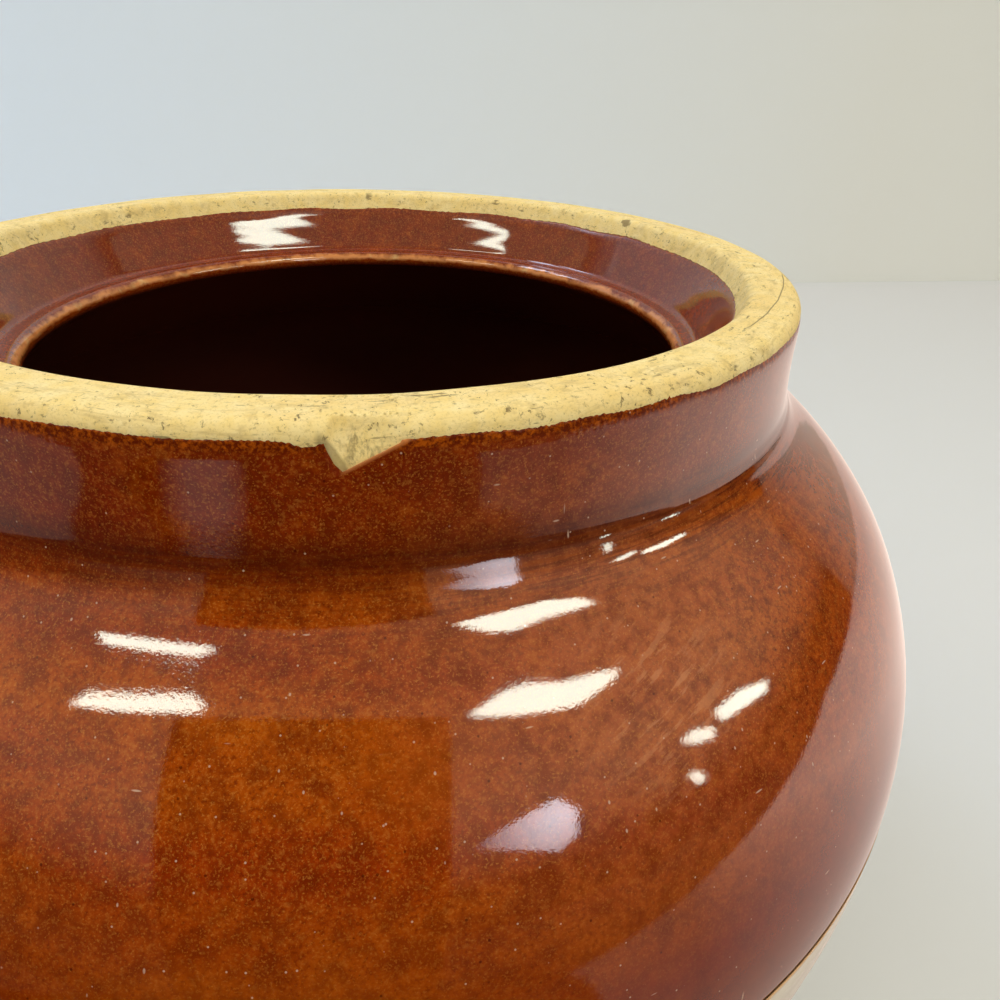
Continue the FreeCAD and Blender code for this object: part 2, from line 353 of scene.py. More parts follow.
def coat_loop(curve, side, distance, thickness, back_step):
    """A coat's skin along a curve, and its back sunk into the clay, as (skin, back)."""
    (radius, height), (out_r, out_h) = walk(curve, distance, side)
    skin = [radius + out_r * thickness, height + out_h * thickness]
    back = [(radius - out_r * SUNK)[:, ::-back_step], (height - out_h * SUNK)[:, ::-back_step]]
    return skin, back


def tapered(from_edge, marks=0.0):
    """Thickness of a coat at these distances from its edge, less the marks pressed into it."""
    share = np.clip(from_edge / GLAZE_EDGE, 0, 1)
    return GLAZE * share * (2 - share) + 0.00001 - marks


def dress(piece, body, node, material):
    """Gives a piece its finish and its CAD body, and hides the CAD node that it stands for."""
    piece.data.materials.append(material)
    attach(piece, body)
    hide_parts(node)


# ---------------------------------------------------------------- the pot's clay

def chip_cut(azimuth):
    """How far below the rim the chip reaches at each azimuth, on the outer wall."""
    across = NECK_RADIUS * np.sin(signed(azimuth))
    outline = np.array(CHIP_OUTLINE)
    depth = np.interp(across, outline[:, 0], outline[:, 1], left=-1, right=-1)
    return np.where(np.abs(signed(azimuth)) < 0.5, np.maximum(depth, 0), 0)


def blurred(grid, times):
    for _ in range(times):
        grid = (grid + np.roll(grid, 1, 0) + np.roll(grid, 1, 1)) / 3
    return grid


def chipped(azimuth, radius, height):
    """The section with the chip broken off: what stands outside its slope is moved back to it."""
    drop = chip_cut(azimuth)[:, None]
    share = drop / max(depth for _, depth in CHIP_OUTLINE)
    reach = np.interp(NECK_RADIUS * np.sin(signed(azimuth)), *np.transpose(CHIP_REACH))[:, None]
    length = np.hypot(drop, reach) + 1e-9
    out_r, out_h = drop / length, reach / length
    grain = blurred(np.random.default_rng(21).normal(size=radius.shape), 3)
    outside_slope = (radius - NECK_RADIUS) * out_r + (height - POT_HEIGHT + drop) * out_h
    move = outside_slope + CHIP_GRAIN * grain * share
    move = np.where(drop > 0, (move + np.hypot(move, CHIP_SOFTNESS)) / 2, 0)
    return radius - move * out_r, height - move * out_h


def kept_back(curve, distance, side, share):
    """Points of the clay along a curve, held back from it where a coat covers them."""
    (radius, height), (out_r, out_h) = walk(curve, distance, side)
    return np.column_stack([radius - out_r * HIDDEN * share, height - out_h * HIDDEN * share])


def pot_clay():
    azimuth = azimuths(CLAY_TIERS)
    outer, inner = outside(), inside()
    outer_length, inner_length = lengths_of(outer)[-1], lengths_of(inner)[-1]
    slope = math.radians(GALLERY_SLOPE)
    rim_turn = RIM_INNER_ROUND * math.tan((math.pi / 2 - slope) / 2)
    outer_edge = arc((NECK_RADIUS - RIM_OUTER_ROUND, POT_HEIGHT - RIM_OUTER_ROUND), RIM_OUTER_ROUND, 0, 90)
    inner_edge = arc((MOUTH_RADIUS + rim_turn, POT_HEIGHT - RIM_INNER_ROUND), RIM_INNER_ROUND,
                     90, 180 - GALLERY_SLOPE)
    base = np.column_stack([np.linspace(0.004, outer[-1, 0] - FOOT_BEVEL, 3), np.zeros(3)])
    outer_rows = rows((outer_length, outer_length - 0.011, 5), (outer_length - 0.014, 0.031, 24),
                      (0.028, 0.0115, 14), (0.0100, 0.0064, 3), (0.0058, RIM_OUTER_ROUND + 0.0003, 13))
    inner_rows = rows((rim_turn + 0.0003, 0.0046, 7), (0.0054, 0.0098, 4), (0.0102, 0.0240, 24),
                      (0.026, inner_length - 0.004, 24))
    foot_near = fade(outer_rows, outer_length - 0.010, outer_length - 0.008)
    wall = kept_back(outer, outer_rows, 1, fade(outer_rows, 0.0058, 0.0075) * (1 - foot_near))
    under = kept_back(inner, inner_rows, -1, fade(inner_rows, 0.0046, 0.0060))
    top = np.column_stack([np.linspace(outer_edge[-1, 0], inner_edge[0, 0], 10), np.full(10, POT_HEIGHT)])
    section = np.vstack([base, wall, outer_edge[::3], top, inner_edge[::4], under])
    radius = np.tile(section[:, 0], (len(azimuth), 1))
    height = np.tile(section[:, 1], (len(azimuth), 1))
    radius, height = chipped(azimuth, radius, height)
    angle = azimuth[:, None]
    worn = 0.00004 * (1 + wander(angle, 2, 30, 12, 31)) + 0.00002 * (
        1 + np.sin(radius * 5500 + 3 * wander(angle, 1, 6, 5, 33)))
    on_rim = fade(height, POT_HEIGHT - 0.003, POT_HEIGHT - 0.0005)
    return lathe("pot_clay", azimuth, radius, height - on_rim * np.clip(worn, 0, None), True)


def brown_coat():
    azimuth = azimuths(BROWN_TIERS)
    curve = outside()
    start = (BROWN_TOP + 0.00012 * wander(azimuth, 4, 40, 20, 41)
             + 0.00006 * wander(azimuth, 100, 900, 60, 42))
    near_chip = bump(signed(azimuth), math.radians(-4.8), math.radians(1.3))
    start = np.maximum(start + 0.0006 * near_chip, chip_cut(azimuth) + 0.00005)
    end_length = np.interp(BROWN_BOTTOM - POT_HEIGHT, -curve[:, 1], lengths_of(curve))
    end = end_length + 0.00025 * wander(azimuth, 2, 14, 12, 43) + 0.00005 * wander(azimuth, 60, 300, 40, 44)
    share = rows((0, 0.0025, 12), (0.004, 0.010, 4), (0.0108, 0.0235, 34), (0.025, 0.094, 24),
                 (0.0955, 0.0975, 5))
    even = BROWN_TOP + (end_length - BROWN_TOP) * share / share[-1]
    distance = even + (start - even[0])[:, None] * np.exp((even[0] - even) / EDGE_REACH)
    distance = distance + (end - end_length)[:, None] * np.exp((even - even[-1]) / EDGE_REACH)
    from_edge = np.minimum(distance - start[:, None], end[:, None] - distance)
    thickness = tapered(from_edge, turning_marks(signed(azimuth)[:, None], distance))
    skin, back = coat_loop(curve, 1, distance, thickness, 5)
    radius, height = np.concatenate([skin, back], axis=2)
    return lathe("pot_brown_coat", azimuth, radius, height, False)


def clear_coat():
    azimuth = azimuths(CLEAR_TIERS)
    curve = outside()
    along = lengths_of(curve)
    top = np.interp(BROWN_BOTTOM - POT_HEIGHT, -curve[:, 1], along) - 0.0007
    bottom = np.interp(-CLEAR_BOTTOM, -curve[:, 1], along)
    end = bottom + 0.0007 * wander(azimuth, 2, 12, 10, 51) + 0.0002 * wander(azimuth, 20, 80, 20, 52)
    distance = top + (end - top)[:, None] * np.linspace(0, 1, 84)
    marks = 0.00003 * (2 + np.sin(distance * 900 + 2 * wander(azimuth[:, None], 1, 3, 4, 53)))
    thickness = tapered(end[:, None] - distance, marks)
    skin, back = coat_loop(curve, 1, distance, np.maximum(thickness, 0.00001), 3)
    radius, height = np.concatenate([skin, back], axis=2)
    return lathe("pot_clear_coat", azimuth, radius, height, False)


def lining_coat():
    azimuth = azimuths(LINING_TIERS)
    curve = inside()
    length = lengths_of(curve)[-1]
    slope_length = LINING_TOP / math.cos(math.radians(GALLERY_SLOPE))
    start = (slope_length + 0.00009 * wander(azimuth, 3, 24, 14, 61)
             + 0.00006 * wander(azimuth, 60, 300, 40, 62))
    beyond = rows((0, 0.0024, 8), (0.003, 0.0068, 10), (0.0071, 0.0190, 42), (0.021, length - 0.007, 44))
    distance = start[:, None] + beyond
    marks = 0.00001 * (1 + np.sin(distance * 1500 + 2 * wander(azimuth[:, None], 1, 5, 6, 63)))
    skin, back = coat_loop(curve, -1, distance, tapered(distance - start[:, None], marks), 2)
    radius, height = np.concatenate([np.array(skin)[:, :, ::-1], np.array(back)[:, :, ::-1]], axis=2)
    return lathe("pot_lining_coat", azimuth, radius, height, True)


# ---------------------------------------------------------------- the lid

def lid_radius():
    flare = (LID_EDGE - LID_EDGE_ROUND - LID_FOOT_BEVEL) * math.tan(math.radians(GALLERY_SLOPE))
    return LID_SEAT_RADIUS + flare


def dome():
    rise = LID_CROWN - LID_EDGE
    run = lid_radius() - LID_EDGE_ROUND
    radius = (run ** 2 + rise ** 2) / (2 * rise)
    return (0, LID_CROWN - radius), radius


def dome_angle(run):
    return math.degrees(math.acos(run / dome()[1]))


def lid_underside():
    ring_inside = LID_SEAT_RADIUS - LID_RING_WIDTH
    return [(0, LID_RECESS), (ring_inside - LID_RECESS, LID_RECESS), (ring_inside, 0),
            (LID_SEAT_RADIUS - LID_FOOT_BEVEL, 0), (LID_SEAT_RADIUS, LID_FOOT_BEVEL),
            (lid_radius(), LID_EDGE - LID_EDGE_ROUND)]


def knob_line():
    """The knob, from its foot on the dome up to its top."""
    head_round = KNOB_BULGE - KNOB_STEM_TOP
    head_centre = (KNOB_RADIUS - head_round, KNOB_BULGE)
    crown_rise = KNOB_TOP - KNOB_BULGE - head_round
    crown_arc = (head_centre[0] ** 2 + crown_rise ** 2) / (2 * crown_rise)
    crown_edge = math.degrees(math.acos(head_centre[0] / crown_arc))
    foot = on_circle(*dome(), dome_angle(KNOB_FOOT_RADIUS))
    share = np.linspace(0, 1, 60)
    bow = 4 * share * (1 - share)
    straight = KNOB_FOOT_RADIUS + (head_centre[0] - KNOB_FOOT_RADIUS) * share
    middle = (KNOB_FOOT_RADIUS + head_centre[0]) / 2
    stem = np.column_stack([straight - (middle - KNOB_WAIST_RADIUS) * bow,
                            foot[1] + (KNOB_STEM_TOP - foot[1]) * share])
    return path(stem, arc(head_centre, head_round, -90, 90),
                arc((0, KNOB_TOP - crown_arc), crown_arc, crown_edge, 90))


def turned_solid(name, curve, count, unevenness):
    """A solid turned on the lid's axis, a little out of round."""
    azimuth = azimuths(LID_TIERS)
    distance = np.linspace(0, lengths_of(curve)[-1], count)[1:-1]
    (radius, height), _ = walk(curve, distance, 1)
    shrink = unevenness * (1 + wander(azimuth, 2, 7, 6, 71)) / 2
    height = np.broadcast_to(height, (len(azimuth), len(distance)))
    return lathe(name, azimuth, radius * (1 - shrink[:, None]), height, True, LID_CENTRE)


def lid_clay():
    edge = dome_angle(lid_radius() - LID_EDGE_ROUND)
    curve = path(*lid_underside(), arc(*dome(), edge, 90))
    return turned_solid("lid_clay", curve, 240, 0.0005)


def knob_clay():
    return turned_solid("lid_knob_clay", path((0, LID_CROWN - 0.001), knob_line()), 120, 0.0005)


def lid_top_curve():
    edge = dome_angle(lid_radius() - LID_EDGE_ROUND)
    flare = lid_underside()[-2:]
    return path(*flare, arc(*dome(), edge, dome_angle(KNOB_FOOT_RADIUS)), knob_line())


def lid_coat(name, curve, side, begin, count, seed):
    """A coat from its wavy edge to the lid's axis."""
    azimuth = azimuths(LID_TIERS)
    start = begin + 0.0002 * wander(azimuth, 3, 30, 14, seed)
    end = lengths_of(curve)[-1] - 0.0003
    even = np.linspace(begin, end, count)
    distance = even + (start - begin)[:, None] * np.exp((begin - even) / LID_EDGE_REACH)
    marks = 0.000008 * (1 + np.sin(distance * 1600 + wander(azimuth[:, None], 1, 5, 5, seed + 1)))
    skin, back = coat_loop(curve, side, distance, tapered(distance - start[:, None], marks), 2)
    radius, height = np.concatenate([back, skin], axis=2)
    return lathe(name, azimuth, radius, height, True, LID_CENTRE)


def lid_top_coat():
    begin = (LID_BARE_EDGE - LID_FOOT_BEVEL) / math.cos(math.radians(GALLERY_SLOPE))
    return lid_coat("lid_top_coat", lid_top_curve(), -1, begin, 160, 81)


def lid_lining_coat():
    curve = path((LID_SEAT_RADIUS - LID_RING_WIDTH, 0), *lid_underside()[1::-1])
    return lid_coat("lid_lining_coat", curve, 1, LID_LINING_EDGE * math.sqrt(2), 70, 91)


# ---------------------------------------------------------------- materials

class Nodes:
    """A material's node tree, with a short way to add nodes and join them."""

    def __init__(self, name):
        self.material = bpy.data.materials.new(name)
        self.material.use_nodes = True
        self.tree = self.material.node_tree
        self.shader = self.tree.nodes["Principled BSDF"]

    def add(self, kind, inputs=None, **settings):
        node = self.tree.nodes.new("ShaderNode" + kind)
        for key, value in settings.items():
            setattr(node, key, value)
        for key, value in (inputs or {}).items():
            if isinstance(value, bpy.types.NodeSocket):
                self.tree.links.new(value, node.inputs[key])
            else:
                node.inputs[key].default_value = value
        return node

    def place(self):
        return self.add("TexCoord").outputs["Object"]

    def math(self, operation, first, second=0.0):
        return self.add("Math", {0: first, 1: second}, operation=operation).outputs[0]

    def times(self, first, second):
        return self.math("MULTIPLY", first, second)

    def less(self, first, second):
        return self.math("SUBTRACT", first, second)

    def larger(self, first, second):
        return self.math("MAXIMUM", first, second)

    def split(self, vector):
        return self.add("SeparateXYZ", {0: vector}).outputs

    def away(self, place, point):
        """Distance from a point."""
        return self.add("VectorMath", {0: place, 1: point}, operation="DISTANCE").outputs["Value"]

    def range(self, value, low, high, to_low=0.0, to_high=1.0):
        return self.add("MapRange", {"Value": value, "From Min": low, "From Max": high,
                                     "To Min": to_low, "To Max": to_high}).outputs["Result"]

    def noise(self, vector, scale, detail=2.0, rough=0.5, warp=0.0):
        return self.add("TexNoise", {"Vector": vector, "Scale": scale, "Detail": detail,
                                     "Roughness": rough, "Distortion": warp}).outputs["Fac"]

    def cells(self, vector, scale):
        return self.add("TexVoronoi", {"Vector": vector, "Scale": scale})

    def spots(self, vector, scale, rarity, size, channel):
        """Round spots, 1 inside, in the few cells whose random colour channel is above rarity."""
        cells = self.cells(vector, scale)
        random = self.add("SeparateColor", {0: cells.outputs["Color"]}).outputs[channel]
        chosen = self.range(random, rarity, rarity + 0.02)
        return self.times(self.range(cells.outputs["Distance"], size, size * 0.6), chosen)

    def stretched(self, vector, scale):
        return self.add("VectorMath", {0: vector, 1: scale}, operation="MULTIPLY").outputs[0]

    def ball(self, centre, inner, outer):
        """1 within inner of a point, fading to 0 at outer."""
        return self.range(self.away(self.place(), centre), outer, inner)

    def mix(self, share, first, second):
        node = self.add("Mix", data_type="RGBA")
        for key, value in (("Factor", share), ("A", first), ("B", second)):
            socket = next(s for s in node.inputs if s.name == key and s.enabled)
            if isinstance(value, bpy.types.NodeSocket):
                self.tree.links.new(value, socket)
            else:
                socket.default_value = value if key == "Factor" else (*value, 1.0)
        return next(s for s in node.outputs if s.enabled)

    def bump(self, height, distance, strength=1.0, normal=None):
        inputs = {"Height": height, "Distance": distance, "Strength": strength}
        if normal is not None:
            inputs["Normal"] = normal
        return self.add("Bump", inputs).outputs["Normal"]

    def finish(self, color, roughness, normal=None, **sockets):
        for key, value in {"Base Color": color, "Roughness": roughness, "Normal": normal}.items():
            if isinstance(value, bpy.types.NodeSocket):
                self.tree.links.new(value, self.shader.inputs[key])
            elif value is not None:
                self.shader.inputs[key].default_value = value
        for key, value in sockets.items():
            self.shader.inputs[key.replace("_", " ")].default_value = value
        return self.material

    def around(self, stretch):
        """Object coordinates stretched round the pot, so that a noise runs along its turning marks.

        Also the distance from the pot's axis, and the height.
        """
        parts = self.split(self.place())
        flat = self.add("CombineXYZ", {"X": parts["X"], "Y": parts["Y"]})
        length = self.add("VectorMath", {0: flat.outputs[0]}, operation="LENGTH").outputs["Value"]
        unit = self.add("VectorMath", {0: flat.outputs[0]}, operation="NORMALIZE").outputs[0]
        sides = self.split(unit)
        x = self.times(sides["X"], NECK_RADIUS / stretch)
        y = self.times(sides["Y"], NECK_RADIUS / stretch)
        across = self.less(length, parts["Z"])
        around = self.add("CombineXYZ", {"X": x, "Y": y, "Z": across}).outputs[0]
        return around, length, parts["Z"]


CHIP_MIDDLE = (-0.0010, -0.0690, 0.1572)
CHIP_SIDE_SLANT = 0.57
RIM_HAIRLINE = ((-0.0177, 0.0199, 0.0), 0.0923)   # centre and radius of a crack on the rim
CLAY = (0.83, 0.62, 0.235)
CLAY_PALE = (0.86, 0.69, 0.34)
CLAY_DEEP = (0.76, 0.52, 0.175)
CLAY_DIRT = (0.48, 0.33, 0.125)
# Dark specks and hairs of the clay; the same colour paints the shade on the chip's steep side.
CLAY_SPECK_AND_SHADE = (0.19, 0.13, 0.05)
GLAZE_DEEP = (0.11, 0.010, 0.0005)
GLAZE_BROWN = (0.258, 0.026, 0.0008)
GLAZE_ORANGE = (0.37, 0.072, 0.0022)
GLAZE_NECK = (0.17, 0.013, 0.0006)
GLAZE_DARK = (0.045, 0.004, 0.0005)
GLAZE_EDGING = (0.095, 0.010, 0.0008)
GLAZE_FLECK = (0.53, 0.195, 0.03)
GLAZE_PALE = (0.52, 0.20, 0.085)
GLAZE_THIN = (0.66, 0.25, 0.075)
LIP_DRIP = (0.74, 0.52, 0.22)
DUST = (0.62, 0.42, 0.30)
GLAZE_IOR = 1.65
PEEL = 0.0000085                             # height of the glaze's orange peel
CREAM = (0.72, 0.64, 0.48)
CREAM_PALE = (0.78, 0.70, 0.54)
CREAM_SPECK = (0.40, 0.26, 0.10)
CREAM_FRINGE = (0.62, 0.30, 0.10)
# Places where the brown glaze differs: centre, and the radii over which it fades
PALE_PLACE = ((0.026, -0.078, 0.136), 0.008, 0.028)
WARM_PLACE = ((0.003, -0.085, 0.131), 0.001, 0.009)
RIDGED_PLACE = ((0.0285, -0.0785, 0.1318), 0.003, 0.012)
PITTED_PLACE = ((0.047, -0.070, 0.130), 0.004, 0.018)
RIDGE_SLANT = 0.30


def clay_material():
    n = Nodes("buff_clay")
    place = n.place()
    swept, _, height = n.around(4.0)
    drawn_out, _, _ = n.around(9.0)
    grain = n.noise(place, 3800, 3, 0.7)
    color = n.mix(n.range(n.noise(place, 420, 4, 0.65), 0.35, 0.68), CLAY, CLAY_PALE)
    color = n.mix(n.range(n.noise(swept, 150, 3, 0.6), 0.45, 0.72, 0.0, 0.55), color, CLAY_DEEP)
    color = n.mix(n.range(grain, 0.47, 0.32, 0.0, 0.42), color, CLAY_DIRT)
    clusters = n.range(n.noise(place, 260, 3, 0.65), 0.44, 0.62)
    specks = n.range(n.noise(place, 1500, 4, 0.75, 0.3), 0.585, 0.635)
    specks = n.times(specks, n.range(clusters, 0.0, 1.0, 0.30, 0.95))
    hairs = n.range(n.noise(drawn_out, 1500, 4, 0.7), 0.600, 0.65)
    hairs = n.times(hairs, n.range(n.noise(place, 330, 2, 0.5), 0.50, 0.60, 0.0, 0.8))
    smears = n.range(n.noise(swept, 560, 5, 0.75, 0.5), 0.52, 0.68, 0.0, 0.55)
    x, y, _ = n.split(place)
    from_line = n.away(n.add("CombineXYZ", {"X": x, "Y": y}).outputs[0], RIM_HAIRLINE[0])
    from_line = n.math("ADD", from_line, n.times(n.noise(place, 160, 3, 0.6), 0.0004))
    from_line = n.math("ABSOLUTE", n.less(from_line, RIM_HAIRLINE[1]))
    hairline = n.times(n.range(from_line, 0.00013, 0.00006), n.range(height, 0.1592, 0.1596))
    hairline = n.times(hairline, n.range(x, 0.046, 0.048, 0.0, 0.8))
    hairline = n.times(hairline, n.range(y, -0.016, -0.020))
    smudges = n.range(n.noise(place, 320, 4, 0.75), 0.57, 0.70, 0.0, 0.55)
    color = n.mix(n.larger(smears, smudges), color, CLAY_DIRT)
    color = n.mix(n.larger(n.larger(specks, hairs), hairline), color, CLAY_SPECK_AND_SHADE)
    chip = n.ball(CHIP_MIDDLE, 0.0014, 0.0026)
    streaks = n.range(n.noise(n.stretched(place, (1, 1, 0.3)), 1500, 3, 0.6), 0.50, 0.62, 0.0, 0.55)
    color = n.mix(n.times(streaks, chip), color, CLAY_SPECK_AND_SHADE)
    # Painted shade on the steep left side of the chip, in the dark speck colour.
    color = n.mix(n.times(painted_chip_shade(n, x, y, height), 0.6), color, CLAY_SPECK_AND_SHADE)
    normal = n.bump(grain, 0.00006, 0.5)
    normal = n.bump(n.less(1.0, n.larger(specks, hairs)), 0.00010, 0.7, normal)
    return n.finish(color, 0.82, normal, IOR=1.45)


def painted_chip_shade(n, x, y, height):
    """1 on the narrow steep side of the chip, along its left edge, where its shade is painted."""
    drop = n.less(POT_HEIGHT, height)
    beside = n.less(x, n.times(drop, CHIP_SIDE_SLANT))
    side = n.times(n.range(beside, -0.0049, -0.0052), n.range(drop, 0.0062, 0.0056))
    below = n.times(n.range(drop, 0.0008, 0.0016), n.range(x, -0.0016, -0.0022))
    here = n.times(n.range(x, -0.0052, -0.0048), n.range(y, -0.062, -0.064))
    return n.times(n.times(side, below), here)


def brown_material(name, top_edge, inner):
    """Brown glaze. top_edge is the height at which it starts, and inner says that it lines the pot."""
    n = Nodes(name)
    swept, reach, height = n.around(3.0)
    place = n.place()
    fine = n.noise(place, 1900, 3, 0.65)
    medium = n.noise(place, 480, 3, 0.6)
    broad = n.noise(swept, 60, 3, 0.55)
    depth = n.less(top_edge, height)
    finest = n.noise(place, 4200, 2, 0.6)
    color = n.mix(n.range(broad, 0.35, 0.68), GLAZE_BROWN, GLAZE_ORANGE)
    color = n.mix(n.range(depth, 0.018, 0.011, 0.0, 0.80), color, GLAZE_NECK)
    blotch = n.noise(place, 190, 4, 0.7)
    color = n.mix(n.range(blotch, 0.50, 0.36, 0.0, 0.45), color, GLAZE_DEEP)
    color = n.mix(n.range(blotch, 0.54, 0.68, 0.0, 0.45), color, GLAZE_ORANGE)
    strong = n.range(height, 0.104, 0.124, 0.40, 1.0)
    dark = n.larger(n.range(medium, 0.38, 0.56, 0.58, 0.0), n.range(fine, 0.34, 0.50, 0.62, 0.0))
    color = n.mix(n.times(dark, strong), color, GLAZE_DEEP)
    flecks = n.larger(n.range(fine, 0.54, 0.70, 0.0, 0.30), n.range(finest, 0.55, 0.72, 0.0, 0.52))
    color = n.mix(n.times(flecks, strong), color, GLAZE_FLECK)
    x, y, _ = n.split(place)
    if not inner:
        pale = n.times(n.ball(*PALE_PLACE), n.range(medium, 0.3, 0.6, 0.06, 0.24))
        color = n.mix(pale, color, GLAZE_PALE)
        warm = n.times(n.ball(*WARM_PLACE), 0.35)
        color = n.mix(warm, color, GLAZE_ORANGE)
        across = n.less(height, n.times(x, RIDGE_SLANT))
        along = n.stretched(place, (0.16, 0.16, 0.0))
        slanting = n.add("CombineXYZ", {"Z": across}).outputs[0]
        slanting = n.add("VectorMath", {0: along, 1: slanting}, operation="ADD").outputs[0]
        ridges = n.noise(slanting, 1000, 4, 0.65)
        here = n.ball(*RIDGED_PLACE)
        color = n.mix(n.times(n.range(ridges, 0.53, 0.60, 0.0, 0.5), here), color, GLAZE_PALE)
        color = n.mix(n.times(n.range(ridges, 0.48, 0.38, 0.0, 0.35), here), color, GLAZE_DEEP)
        pits = n.range(n.noise(place, 1200, 4, 0.75, 0.3), 0.48, 0.38, 0.0, 0.5)
        pitted = n.ball(*PITTED_PLACE)
        color = n.mix(n.times(pits, pitted), color, GLAZE_DARK)
        lines = n.noise(n.around(12.0)[0], 1500, 4, 0.65)
        beside = n.times(n.range(depth, 0.0100, 0.0122), n.range(depth, 0.0215, 0.0165))
        beside = n.times(beside, n.range(x, 0.0, 0.03, 0.45, 1.0))
        color = n.mix(n.times(n.range(lines, 0.50, 0.40, 0.0, 0.5), beside), color, GLAZE_DARK)
        color = n.mix(n.times(n.range(lines, 0.53, 0.62, 0.0, 0.5), beside), color, GLAZE_ORANGE)
    # Painted shade: the glaze darkens lower down, under the turn of the shoulder and deep inside the pot.
    color = n.mix(n.range(height, 0.127, 0.102, 0.0, 0.60), color, GLAZE_DEEP)
    color = n.mix(n.times(n.spots(place, 1100, 0.93, 0.19, 1), 0.65), color, GLAZE_DARK)
    wavy = n.noise(place, 2300, 2, 0.7)
    rough_band = n.range(n.less(depth, n.times(medium, 0.0010)), 0.0009, 0.0002)
    ragged = n.mix(n.range(fine, 0.44, 0.64), GLAZE_EDGING, GLAZE_ORANGE)
    color = n.mix(n.times(rough_band, 0.3 if inner else 0.85), color, ragged)
    if inner:
        uneven = n.math("ADD", n.times(medium, 0.0016), n.times(n.noise(place, 130), 0.0016))
        lip_near = n.range(n.less(reach, uneven), 0.0521, 0.0515)
        lip_high = n.range(n.less(height, n.times(medium, 0.0014)), 0.1458, 0.1464)
        thin = n.mix(n.range(n.noise(place, 210, 3, 0.6), 0.55, 0.75), GLAZE_THIN, LIP_DRIP)
        color = n.mix(n.times(n.times(lip_near, lip_high), 0.9), color, thin)
        # Painted shade deep inside the pot, where little light reaches.
        painted_shade_inside = n.range(height, 0.1462, 0.1450)
        color = n.mix(n.times(painted_shade_inside, 0.9), color, GLAZE_DARK)
    else:
        below_chip = n.less(height, n.times(x, 0.5))
        below_chip = n.less(below_chip, POT_HEIGHT - 0.0033)
        beside = n.range(n.math("ABSOLUTE", n.less(x, 0.0004)), 0.0036, 0.0028)
        fringe = n.times(n.range(below_chip, -0.0005, -0.0001), beside)
        fringe = n.times(fringe, n.range(y, -0.062, -0.066))
        color = n.mix(n.times(fringe, 0.7), color, GLAZE_THIN)
        # Painted shade in the crease under the neck, over a little real pooling of glaze in the groove.
        crease_shade = n.times(n.range(depth, 0.0160, 0.0132), n.range(depth, 0.0090, 0.0120))
        color = n.mix(n.times(crease_shade, 0.6), color, GLAZE_DARK)
        dust = n.larger(n.spots(place, 1000, 0.78, 0.13, 2), n.spots(swept, 500, 0.82, 0.08, 0))
        dust = n.larger(dust, n.spots(n.stretched(place, (1, 1, 0.12)), 620, 0.80, 0.09, 1))
        color = n.mix(n.times(dust, 0.6), color, DUST)
    roughness = n.range(rough_band, 0.0, 1.0, 0.04, 0.22)
    if inner:
        roughness = n.larger(roughness, n.range(height, 0.140, 0.120, 0.04, 0.5))
    normal = n.bump(n.noise(place, 2900, 2, 0.6), PEEL, 0.5)
    normal = n.bump(n.times(rough_band, wavy), 0.00002 if inner else 0.00008, 0.5, normal)
    if not inner:
        gloss = n.range(depth, 0.0130, 0.0160, 0.41, 0.5)
        gloss = n.times(gloss, n.range(rough_band, 0.0, 1.0, 1.0, 0.24))
        n.tree.links.new(gloss, n.shader.inputs["Specular IOR Level"])
    return n.finish(color, roughness, normal, IOR=GLAZE_IOR)


def cream_material():
    n = Nodes("clear_glaze_on_clay")
    place = n.place()
    height = n.split(place)["Z"]
    color = n.mix(n.range(n.noise(place, 150, 3, 0.6), 0.35, 0.7), CREAM, CREAM_PALE)
    specks = n.cells(place, 420)
    rare = n.range(n.add("SeparateColor", {0: specks.outputs["Color"]}).outputs[0], 0.92, 0.95)
    speck = n.times(n.range(specks.outputs["Distance"], 0.20, 0.10), rare)
    color = n.mix(n.times(speck, 0.7), color, CREAM_SPECK)
    line = POT_HEIGHT - BROWN_BOTTOM
    uneven = n.math("ADD", height, n.times(n.noise(place, 500, 3, 0.6), 0.0010))
    fringe = n.range(uneven, line - 0.0006, line + 0.0004)
    color = n.mix(n.times(fringe, 0.8), color, CREAM_FRINGE)
    normal = n.bump(n.noise(place, 900, 2, 0.5), 0.00002, 0.4)
    return n.finish(color, 0.12, normal, IOR=1.5)


# ---------------------------------------------------------------- stage

CAMERA_PLACE = Vector((0.0, -0.131203, 0.187465))
CAMERA_YAW = 0.18778
CAMERA_PITCH = 0.52529
CAMERA_ROLL = 0.03816
CAMERA_LENS = 27.036
SENSOR = 36.0
WALL_AT = 0.60
WALL_HEIGHT = 2.5
FLOOR_SIZE = 3.0
TABLE_FRONT = -0.45
# Flat stage pieces lie this far above the floor, one over another
TABLE_LIFT = 0.0003
DARK_LIFT = 0.0006
PATCH_LIFT = 0.0009
SHOULDER = Vector((0.02, -0.08, 0.134))     # about where the lamps are mirrored
LAMP_DISTANCE = 2.0
LAMP_COLOR = (0.93, 1.0, 0.84)
FILL_COLOR = (1.0, 0.96, 0.88)
FILL_RADIANCE = 1.03
FILL_HEIGHT = 1.5
FILL_SIZE = (3.0, 3.0)
FILL_LEFT_AT = (-1.0, 0.2, 0.3)
FILL_LEFT_DISTANCE = 1.6
FILL_LEFT_SIZE = (0.7, 0.8)
FILL_LEFT_RADIANCE = 1.8
FLOOR_COLOR = (0.60, 0.61, 0.63)
BACKDROP_LEFT = (0.73, 0.82, 0.96)
BACKDROP_RIGHT = (0.73, 0.73, 0.71)
TABLE_GLOW = (0.36, 1.42)
TABLE_GLOW_COLOR = (1.0, 0.82, 0.72)
